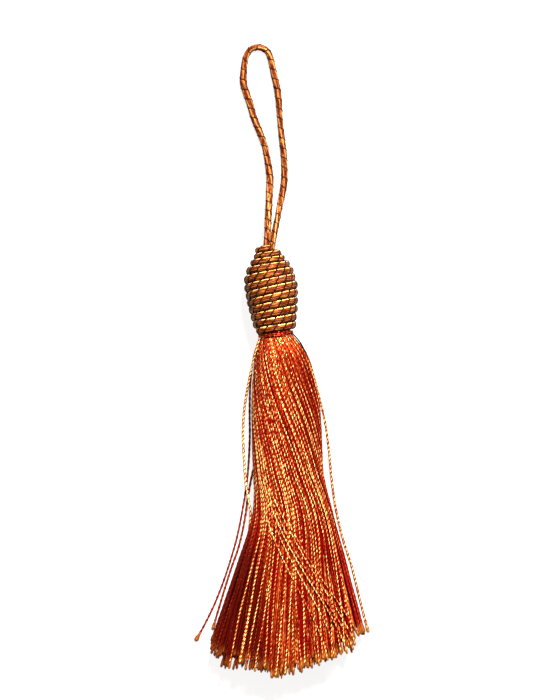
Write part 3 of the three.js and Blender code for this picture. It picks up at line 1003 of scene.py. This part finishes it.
@dataclass(frozen=True)
class HankForm:
    """The outline of the skirt, section by section below the head."""

    neck: tuple[float, float] = (0.00105, -0.01155)
    rows: Table = Table(
        ("fall", "left", "right", "under", "middle", "crown"),
        (
            (-0.002, -0.0029, 0.0048, 0.00245, 0.00635, 0.01025),
            (0.0, -0.0030, 0.0051, 0.00245, 0.00635, 0.0103),
            (0.005, -0.0041, 0.0090, 0.0013, 0.0062, 0.0111),
            (0.012, -0.0049, 0.0112, 0.0002, 0.0056, 0.0115),
            (0.020, -0.0051, 0.0124, -0.0007, 0.0050, 0.0113),
            (0.035, -0.0046, 0.0131, -0.0010, 0.0042, 0.0106),
            (0.041, -0.0044, 0.0144, -0.0011, 0.0039, 0.0103),
            (0.045, -0.0047, 0.0154, -0.0011, 0.0038, 0.0102),
            (0.049, -0.0057, 0.0164, -0.0011, 0.0037, 0.0101),
            (0.053, -0.0070, 0.0175, -0.0011, 0.0036, 0.0100),
            (0.057, -0.0084, 0.0186, -0.0011, 0.0035, 0.0099),
            (0.062, -0.0101, 0.0199, -0.0012, 0.0034, 0.0098),
            (0.075, -0.0146, 0.0235, -0.0013, 0.0032, 0.0098),
            (0.086, -0.0184, 0.0266, -0.0014, 0.0032, 0.0100),
        ),
    )
    cut: Table = Table(
        ("across", "fall"),
        (
            (-1.0, 0.0785),
            (-0.8, 0.0826),
            (-0.4, 0.0834),
            (-0.1, 0.0853),
            (0.2, 0.0834),
            (0.6, 0.0799),
            (0.85, 0.0768),
            (1.0, 0.0757),
        ),
    )
    press: float = 3.86 * MM
    rise: float = 0.35
    outline_steps: int = 72

    def lay(self, fall: Array, share: Array, spread: Array, inset: Array) -> tuple[Array, Array]:
        """Places threads in the skirt's sections.

        Formula: a section is two half ellipses, an upper and a lower one, made smaller by spread and by the
        thread's own inset, and pressed flat where it would go under the surface. A thread lies on that
        outline at a share of its length, counted from its lowest point towards +X.

        Args:
            fall: distance below the head.
            share: place round the outline, where 1 is once round.
            spread: size against the outermost outline.
            inset: half the thread's thickness.

        Returns:
            The middle of each thread and the direction away from the bundle, [..., 3].
        """
        left, right, under, middle, crown = (
            self.rows.read("fall", name, fall)[..., None] for name in self.rows.columns[1:]
        )
        size, edge = spread[..., None], inset[..., None]
        angle = TURN * np.arange(self.outline_steps + 1) / self.outline_steps - math.pi / 2
        half = ((right - left) / 2 - edge) * size
        tall = np.where(np.sin(angle) > 0, (crown - middle - edge) * size, (middle - under - edge) * size)
        level = middle + (crown - middle) * self.rise * (1 - size)
        floor = np.maximum(self.press * (1 - size), 0) + edge
        x = (left + right) / 2 + half * np.cos(angle)
        z = np.maximum(level + tall * np.sin(angle), floor)
        outline = np.stack(np.broadcast_arrays(x, z), -1)
        length = lengths_along(outline)
        wanted = (share % 1)[..., None] * length[..., -1:]
        k = np.clip((length <= wanted).sum(-1) - 1, 0, self.outline_steps - 1)[..., None]
        at, after = (np.take_along_axis(length, n, -1) for n in (k, k + 1))
        u = (wanted - at) / np.maximum(after - at, 1e-9)
        a, b = (np.take_along_axis(outline, n[..., None], -2)[..., 0, :] for n in (k, k + 1))
        place, ahead = a + u * (b - a), b - a
        y = self.neck[1] - fall
        return (
            np.stack([place[..., 0], y, place[..., 1]], -1),
            np.stack([ahead[..., 1], 0 * y, -ahead[..., 0]], -1),
        )

    def cut_at(self, share: Array, spread: Array) -> Array:
        """Works out how far below the head the scissors met the threads that lie at these places.

        Formula: the cut table read at the thread's place across the skirt, less up to 1.6 mm for a thread
        that lies low, because the scissors leaned.

        Args:
            share: the threads' places round the outline.
            spread: how far out they lie.

        Returns:
            The distance below the head, in the same shape.
        """
        last = np.full(share.shape, self.rows.column("fall")[-1])
        tip, _ = self.lay(last, share, spread, 0 * last)
        left, right, crown = (self.rows.read("fall", name, last) for name in ("left", "right", "crown"))
        across = (2 * tip[..., 0] - left - right) / (right - left)
        return self.cut.read("across", "fall", across) - 1.6 * MM * (1 - tip[..., 2] / crown)


@dataclass
class Hank:
    """Threads of one kind that lie together.

    share is each thread's place round the bundle at its cut end, and spread how far out it lies. gold
    is the part of them that gets a golden painted highlight. They start at root, and wander by drift and
    scatter, lie turned by twist within the falls named twisting, and rise by lift over the falls named freed.
    dimming is how much painted shade darkens them at the lower left, and fading how much of their painted
    highlight they lose towards the cut end.
    """

    name: str
    make: Make
    share: Array
    spread: Array
    gold: float
    thread: float = 0.245 * MM
    root: float = ROOT
    drift: float = 0.012
    twist: float = TWIST
    twisting: tuple[float, float] = TWISTING
    scatter: float = 0.0
    lift: float = 0.25 * MM
    freed: tuple[float, float] = (0.0, 40 * MM)
    dimming: float = 0.78
    fading: float = 0.70
    pieces: int = 1


@dataclass
class Courses:
    """Where threads run, row by row: middle and outward are [threads, rows, 3], the rest [threads, rows].

    gold is how much golden painted highlight the crests get, tone how bright the red between them is, with
    painted shade in it, and opening by how much of its thickness each thread swells at its cut end.
    """

    middle: Array
    outward: Array
    fall: Array
    to_cut: Array
    gold: Array
    tone: Array
    opening: float | Array = 0.4


@dataclass(frozen=True)
class Stray:
    """A thread that has come away: its painted highlight (gold), half its thickness, its end's swelling and
    its route, in mm.
    """

    gold: float
    half: float
    opening: float
    rows: tuple[tuple[float, float, float], ...]


STRAY_ROUTES: dict[str, Stray] = {
    "bow_on_the_left": Stray(
        1.0,
        0.36,
        0.4,
        (
            (-2.6, -12.2, 8.0), (-4.0, -16.6, 7.4), (-5.2, -21.5, 5.6),
            (-6.4, -27.6, 3.4), (-7.0, -33.0, 1.7), (-7.15, -38.0, 0.9),
            (-6.9, -43.0, 0.8), (-6.5, -49.0, 1.3), (-5.8, -53.3, 1.9),
            (-5.3, -58.0, 2.2), (-6.6, -67.0, 2.2), (-9.6, -78.0, 1.8),
            (-12.2, -88.5, 1.2),
        ),
    ),
    "long_on_the_left": Stray(
        0.30,
        0.32,
        1.0,
        (
            (-2.7, -12.2, 6.6), (-4.4, -17.5, 5.0), (-5.3, -24.0, 2.6),
            (-5.5, -31.0, 1.2), (-5.5, -38.6, 0.5), (-6.1, -48.0, 0.4),
            (-7.3, -56.1, 0.4), (-8.9, -63.8, 0.4), (-11.5, -72.4, 0.36),
            (-14.0, -79.0, 0.36), (-16.6, -84.5, 0.36), (-19.2, -89.2, 0.36),
        ),
    ),
    "short_on_the_left": Stray(
        0.32,
        0.34,
        0.4,
        (
            (-3.4, -41.0, 3.4), (-4.5, -45.6, 2.3), (-5.3, -49.2, 1.4),
            (-5.95, -52.8, 0.8), (-6.5, -57.0, 0.5), (-7.3, -61.5, 0.5),
            (-8.5, -66.2, 0.5), (-10.2, -71.0, 0.5), (-12.4, -78.0, 0.5),
            (-14.9, -86.4, 0.4),
        ),
    ),
    "on_the_right": Stray(
        0.75,
        0.36,
        0.4,
        (
            (4.6, -12.0, 8.6), (8.0, -16.5, 7.6), (10.2, -21.5, 6.0),
            (11.9, -27.5, 4.2), (13.4, -34.0, 2.9), (14.4, -41.0, 1.8),
            (15.1, -48.1, 1.0), (16.1, -55.4, 0.6), (17.8, -62.9, 0.4),
            (20.2, -70.5, 0.36), (22.2, -78.6, 0.36), (24.4, -87.0, 0.36),
        ),
    ),
}


@dataclass
class Skirt:
    """A hank of three-ply threads: shells round a core, threads laid over them and a few strays."""

    form: HankForm
    waist: float = 0.70
    pitch: float = 3.2 * MM
    coarse_rows: int = 84
    thin_at_head: float = 0.75
    full_by: float = 14 * MM
    opened_over: tuple[float, float] = (0.4 * MM, 3.2 * MM)
    rounding: float = 0.35 * MM
    # where the painted shade at the lower left rises, across and down the skirt
    dusk_across: tuple[float, float] = (2.0 * MM, -4.5 * MM)
    dusk_fall: tuple[float, float] = (42 * MM, 58 * MM)
    # over this fall below the head the silk comes out of painted shade
    painted_shade_reach: float = 34 * MM
    faded_over: tuple[float, float] = (36 * MM, 58 * MM)
    # sheen ranges of the threads that get a golden painted highlight, and of those left red
    golden: tuple[float, float] = (0.6, 1.0)
    red: tuple[float, float] = (0.05, 0.30)
    tufts: int = 42
    tuft_step: float = 0.8 * MM
    tuft_pull: float = 0.6
    tuft_reach: float = 16 * MM
    uneven_cut: float = 0.22 * MM
    crimp: float = 0.04 * MM
    core_spread: float = 0.90
    core_flutes: int = 100
    core_rows: int = 80
    core_short: float = 1.9 * MM
    gather_turns: float = 2.6
    gather_radius: float = 4.25 * MM
    gather_top: float = 0.35 * MM
    gather_pitch: float = 0.44 * MM
    gather_thread: float = 0.24 * MM
    tail_radius: float = 0.17 * MM
    tail_corners: int = 6
    tail_route: tuple[tuple[float, float, float], ...] = (
        (3.6, -10.9, 8.8), (5.0, -11.6, 8.4), (6.2, -12.8, 8.2),
        (7.3, -14.2, 7.9), (8.2, -15.9, 7.6), (8.9, -17.8, 7.2),
    )

    def thickness(self, fall: Array, to_cut: Array, opening: float | Array) -> Array:
        """Works out how thick a thread is, against its full thickness.

        Formula: it grows from thin_at_head to 1 by the fall full_by, swells by the opening near the cut end,
        where the plies come apart, and rounds off in the last stretch, the rounding.

        Args:
            fall: distance below the head.
            to_cut: distance left to the cut end.
            opening: how much the cut end swells.

        Returns:
            The share of the full thickness, in the same shape.
        """
        grown = self.thin_at_head + (1 - self.thin_at_head) * soft_step(0, self.full_by, fall)
        opened = 1 + opening * (1 - soft_step(*self.opened_over, to_cut))
        rounded = np.sqrt(np.clip(to_cut / self.rounding, 0.12, 1))
        return grown * opened * rounded

    def dusk(self, across: Array, fall: Array) -> Array:
        """Gives how far the threads lie in painted shade at the lower left, from 0 to 1."""
        left_of = soft_step(*self.dusk_across, across + 0.1 * (70 * MM - fall))
        return left_of * soft_step(*self.dusk_fall, fall)

    def shaded(self, fall: Array) -> Array:
        """Gives how bright the silk is painted for its place: darker, as painted shade, close under the head.
        """
        return 0.45 + 0.55 * soft_step(0, self.painted_shade_reach, fall)

    def twisted(self, share: Array, fall: Array, within: tuple[float, float]) -> Array:
        """Works out how far round the bundle a thread still lies from its place at the cut end.

        Formula: 1 above the range of falls and 0 below it, with a smooth step between, times 0.8 plus 0.45
        times the cosine of the way round from the upper right side, where the twist is strongest.

        Args:
            share: the thread's place at its cut end.
            fall: distance below the head.
            within: where the twist begins and ends.

        Returns:
            The amount, about 1 at the head, for the hank's twist to be multiplied by.
        """
        return (0.8 + 0.45 * np.cos(TURN * (share - 0.3))) * (1 - soft_step(*within, fall))

    def courses(self, hank: Hank, rng: np.random.Generator) -> Courses:
        """Lays out the threads of a hank.

        Formula: each thread ends at its share of the outline, and further up it lies turned from there by
        the hank's twist, so that the whole bundle is a little twisted. A random wave that grows with the
        distance from the head moves it to and fro. Near the cut end it is drawn towards the middle of its
        tuft. The hank's gold is the part of its threads that get a golden painted highlight, and the rest
        stay red. That painted highlight falls off close under the head, in the painted shade at the lower left
        and, less for the highlighted threads than for the red ones, towards the cut end.

        Args:
            hank: the threads.
            rng: the random numbers.

        Returns:
            The threads' courses.
        """
        count = len(hank.share)
        t = np.linspace(0, 1, self.coarse_rows)[None]
        tuft = np.floor(hank.share * self.tufts).astype(int) % self.tufts
        tuft_middle = (tuft + 0.5) / self.tufts
        ragged = np.random.default_rng(5).uniform(-1, 1, self.tufts)[tuft]
        cut = self.form.cut_at(hank.share, hank.spread)
        end = cut + self.tuft_step * ragged + rng.normal(0, self.uneven_cut, count)
        fall = hank.root + t * (end[:, None] - hank.root)
        freed = soft_step(*hank.freed, fall)
        drift = hank.drift * freed * waves(rng, count, t, 3)
        near_cut = soft_step(-self.tuft_reach, 0, fall - end[:, None])
        gathered = self.tuft_pull * near_cut * (tuft_middle - hank.share)[:, None]
        scattered = hank.scatter * rng.normal(0, 1, (count, 1)) * (1 - fall / end[:, None])
        twist = hank.twist * self.twisted(hank.share[:, None], fall, hank.twisting)
        share = hank.share[:, None] + drift + gathered + scattered + twist
        lift = hank.lift * (0.75 + 0.35 * waves(rng, count, t, 3)) * freed
        spread = np.broadcast_to(hank.spread[:, None], fall.shape) + lift / (8 * MM)
        middle, outward = self.form.lay(fall, share, spread, np.full(fall.shape, hank.thread))
        crimp = self.crimp * waves(rng, count, 14 * t, 3) * freed
        middle[..., 0] += crimp
        middle[..., 2] = np.maximum(middle[..., 2] + 0.6 * crimp[:, ::-1], hank.thread)
        # golden threads get a golden painted highlight; the rest stay red
        golden = ((hank.gold * np.arange(count) + rng.uniform(-0.2, 0.2, count)) % 1 < hank.gold)[:, None]
        gold = np.where(golden, rng.uniform(*self.golden, (count, 1)), rng.uniform(*self.red, (count, 1)))
        # painted shade at the lower left
        dimmed = 1 - hank.dimming * self.dusk(middle[..., 0], fall)
        # painted shade: less painted highlight close under the head
        painted_shade_near_head = 0.74 + 0.26 * soft_step(0, self.painted_shade_reach, fall)
        # less painted highlight towards the cut end, more so on the red threads than on the golden ones
        faded = 1 - hank.fading * np.where(golden, 0.6, 1.0) * soft_step(*self.faded_over, fall)
        gold = gold * (0.9 + 0.3 * waves(rng, count, 5 * t, 4)) * faded * painted_shade_near_head * np.sqrt(dimmed)
        # tone: at random, darkened as painted shade close under the head (shaded) and at the lower left
        # (dimmed)
        tone = (0.85 + 0.3 * waves(rng, count, 3 * t, 3)) * self.shaded(fall) * dimmed
        to_cut = end[:, None] - fall
        return Courses(middle, outward, fall, to_cut, np.clip(gold, 0, 1), np.clip(tone, 0, 1))

    def spin(self, make: Make, courses: Courses, thread: float | Array, turned: Array) -> Sweep:
        """Spins three-ply threads along their courses.

        Formula: at angle a of a ring the thread's radius is multiplied by the root of cos a squared plus
        waist squared times sin a squared, and the whole ring is turned back once in each pitch. Towards the
        cut end the plies open to a round tuft. The gleam, a painted highlight, is the gold where the crest
        faces away from the bundle, as if lit there. The cut shade grows over the last 3.4 mm, less on a dark
        thread.

        Args:
            make: how finely they are made.
            courses: where they run.
            thread: half their full thickness.
            turned: each thread's turn at the head, [threads].

        Returns:
            The threads as tubes.
        """
        corners, step = make.value
        longest = lengths_along(courses.middle)[:, -1].max()
        count = int(longest / (step * MM)) + 1
        path, away = between_rows(courses.middle, count), between_rows(courses.outward, count)
        fall, to_cut = between_rows(courses.fall, count), np.maximum(between_rows(courses.to_cut, count), 0)
        gold, tone = (between_rows(shade, count)[..., None] for shade in (courses.gold, courses.tone))
        along = lengths_along(path)
        ring = angles_round(corners)
        opened = 1 - soft_step(0.3 * MM, 2.4 * MM, to_cut)[..., None]
        waist = self.waist + (0.95 - self.waist) * opened
        shape = np.sqrt(np.cos(ring) ** 2 + (waist * np.sin(ring)) ** 2)
        angle = ring + turned[:, None, None] - TURN * along[..., None] / self.pitch
        reach = thread * self.thickness(fall, to_cut, courses.opening)[..., None] * shape
        points = carry(path, away, reach[..., None] * ellipse(angle, 1, 1))
        points[..., 2] = np.maximum(points[..., 2], 0.02 * MM)
        # painted highlight: only the side of the thread that faces away from the bundle gleams
        outer_side = soft_step(0.5, 1.0, np.sin(angle))
        gleam = outer_side * (0.05 + 0.95 * gold)
        cut = (1 - soft_step(0.3 * MM, 3.4 * MM, to_cut))[..., None] * np.minimum(0.15 + 1.2 * tone, 1)
        return Sweep(points, along, {"gleam": gleam, "tone": tone, "cut": cut})

    def core(self) -> Sweep:
        """Fills the bundle with one fluted form, a little inside the outermost threads.

        Formula: at each fall the ring is the outline made smaller by core_spread, and it swells and shrinks
        with the cosine of the number of flutes times the share. The flutes are twisted as the threads are.

        Returns:
            The core as one closed tube.
        """
        corners = 4 * self.core_flutes
        column = -np.arange(corners)[None] / corners
        t = np.linspace(0, 1, self.core_rows)[:, None]
        foot = self.form.cut_at(column, np.full(column.shape, self.core_spread)) - self.core_short
        fall = ROOT + t * (foot - ROOT)
        flute = 0.5 + 0.5 * np.cos(TURN * self.core_flutes * column)
        share = column + TWIST * self.twisted(column, fall, TWISTING)
        points, _ = self.form.lay(fall, share, self.core_spread + 0.035 * flute + 0 * t, 0 * fall)
        points[..., 2] = np.maximum(points[..., 2], 0.05 * MM)
        # the core's painted highlight (gleam) and its red (tone), both darkened as painted shade at the lower
        # left
        bright = 1 - self.dusk(points[..., 0], fall)
        cut = 1 - soft_step(0.2 * MM, 2.4 * MM, foot - fall)
        shades = {"gleam": (0.45 * bright)[None], "tone": (0.8 * bright)[None], "cut": cut[None]}
        return Sweep(points[None], fall.mean(axis=1)[None], shades, 1, self.core_flutes // 2)

    def shells(self) -> list[Hank]:
        """Lists the skirt's hanks.

        Returns:
            The shells, from the outermost to the innermost, and then the threads laid over them.
        """
        rng = np.random.default_rng(21)

        def shell(name: str, make: Make, count: int, spread: float, gold: float, **more: float) -> Hank:
            share = (np.arange(count) + 0.5 + rng.uniform(-0.4, 0.4, count)) / count
            return Hank(name, make, share, np.full(count, spread), gold, **more)

        outer = shell("outer", Make.SHOWN, 100, 0.985, 0.44, thread=0.26 * MM, scatter=0.006, pieces=2)
        below = (outer.share < 0.14) | (outer.share > 0.86)
        under = replace(outer, name="under", make=Make.HALF_HIDDEN, pieces=1)
        outer.share, outer.spread = outer.share[~below], outer.spread[~below]
        under.share, under.spread = under.share[below], under.spread[below]
        over = 20
        laid_over = Hank(
            "laid_over",
            Make.SHOWN,
            0.29 + 0.38 * (np.arange(over) + rng.uniform(0, 1, over)) / over,
            rng.uniform(0.96, 0.98, over),
            1.0,
            thread=0.27 * MM,
            drift=0.012,
            scatter=0.03,
            lift=0.75 * MM,
            freed=(12 * MM, 48 * MM),
            dimming=0.1,
            fading=0.0,
        )
        crossing = replace(
            laid_over,
            name="crossing",
            share=np.array([0.285, 0.30, 0.325, 0.34, 0.365, 0.40]),
            spread=rng.uniform(0.90, 0.95, 6),
            drift=0.003,
            scatter=0.01,
            twist=0.36,
            twisting=(14 * MM, 82 * MM),
            lift=1.3 * MM,
            freed=(26 * MM, 50 * MM),
        )
        return [
            outer,
            under,
            shell("second", Make.HALF_HIDDEN, 86, 0.945, 0.3, scatter=0.02, pieces=1),
            shell("third", Make.BURIED, 64, 0.80, 0.0, root=64 * MM),
            shell("fourth", Make.BURIED, 54, 0.62, 0.0, root=64 * MM),
            shell("fifth", Make.BURIED, 40, 0.42, 0.0, root=64 * MM),
            shell("inner", Make.BURIED, 18, 0.20, 0.0, root=64 * MM),
            laid_over,
            crossing,
        ]

    def strays(self) -> Sweep:
        """Spins the threads that have come away from the bundle, each along its own route.

        Returns:
            The strays as tubes.
        """
        tables = STRAY_ROUTES.values()
        rows = [np.array(stray.rows)[None] * MM for stray in tables]
        middle = np.concatenate([between_rows(row, self.coarse_rows) for row in rows])
        along = lengths_along(middle)
        gold = np.array([stray.gold for stray in tables])[:, None] * np.ones(along.shape)
        opening = np.array([stray.opening for stray in tables])[:, None]
        # a stray's red is brighter the more painted highlight it gets
        fall, tone = self.form.neck[1] - middle[..., 1], np.clip(1.5 * gold + 0.15, 0, 1)
        routes = Courses(middle, upwards(middle), fall, along[:, -1:] - along, gold, tone, opening)
        half = np.array([stray.half * MM for stray in tables])[:, None, None]
        return self.spin(Make.SHOWN, routes, half, 7 * gold[:, 0])

    def gather(self, head: HeadForm) -> Sweep:
        """Winds a thread closely round the neck, just under the head.

        Formula: a helix of gather_turns turns, gather_pitch apart, round the neck's own radius.

        Args:
            head: the head, whose axis it goes round.

        Returns:
            The thread as one tube.
        """
        turn = np.linspace(0, self.gather_turns, int(60 * self.gather_turns))
        angle = TURN * turn
        right, up = -self.gather_radius * np.sin(angle), -self.gather_radius * np.cos(angle)
        drop = self.gather_top - self.gather_pitch * turn
        middle = head.place(drop, right, up)[None]
        outward = middle - head.place(drop, 0 * right, 0 * up)[None]
        far = np.full((1, len(turn)), 20 * MM)
        courses = Courses(middle, outward, far, far, 18 * far, 28 * far)
        return self.spin(Make.SHOWN, courses, self.gather_thread, np.zeros(1))

    def tail(self) -> Sweep:
        """Lays the loose end of the binding thread from the gather down the skirt's right shoulder.

        Returns:
            The end as one tube.
        """
        path = even_route(np.array(self.tail_route) * MM, 0.25 * MM)[None]
        rings = round_rings(self.tail_radius, self.tail_corners, path)
        return Sweep(carry(path, upwards(path), rings), lengths_along(path), {})

    def build(self, head: HeadForm, finish: Material, tail_finish: Material) -> None:
        """Spins every hank and puts it into its pieces.

        Args:
            head: the head, whose foot the skirt hangs from.
            finish: the silk.
            tail_finish: the loose end of the gather's thread.
        """
        rng = np.random.default_rng(8)
        pieces = []
        for hank in self.shells():
            courses = self.courses(hank, rng)
            sweep = self.spin(hank.make, courses, hank.thread, rng.uniform(0, TURN, len(hank.share)))
            groups = np.array_split(np.arange(len(hank.share)), hank.pieces)
            for number, chosen in enumerate(groups, start=1):
                name = f"skirt_{hank.name}_{number}" if hank.pieces > 1 else f"skirt_{hank.name}"
                pieces.append(put_mesh(name, sweep.part(chosen), finish))
        for name, sweep, dressed in (
            ("skirt_core", self.core(), finish),
            ("skirt_strays", self.strays(), finish),
            ("skirt_gather", self.gather(head), finish),
            ("skirt_gather_tail", self.tail(), tail_finish),
        ):
            pieces.append(put_mesh(name, sweep, dressed))
        for piece in pieces:
            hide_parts("skirt")


# ---- the whole tassel ----


def main() -> None:
    """Builds the studio and the tassel, piece by piece."""
    logging.basicConfig(level=logging.INFO, format="%(name)s: %(message)s")
    Studio().build()
    gimp = Gimp()
    cord_finish, binding_finish = GimpFinish().material(), BindingFinish().material()
    HangingLoop(gimp).build(cord_finish, binding_finish)
    head = HeadForm()
    head_gimp = Gimp(
        # painted highlight and painted shade: the yarns hardly twist, so the golden yarn stays along the top
        # of each turn and the dark ones below; dark_up_to paints shade on the downward side
        yarn_gold_and_sheen=(0.0, 0.0, 0.5, 0.0, 0.6, 0.0, 0.3, 0.0, 0.5, 1.0, 0.5) + 13 * (0.1,),
        yarn_depth=0.13,
        dark_up_to=-0.15,
        yarn_pitch=5000 * MM,
        corners=72,
        binding_pitch=4.4 * MM,
        binding_starts=2,
        binding_radius=0.18 * MM,
    )
    WoundHead(head, head_gimp).build(cord_finish, binding_finish)
    Skirt(HankForm()).build(head, SilkFinish().material(), binding_finish)


if __name__ == "__main__":
    main()
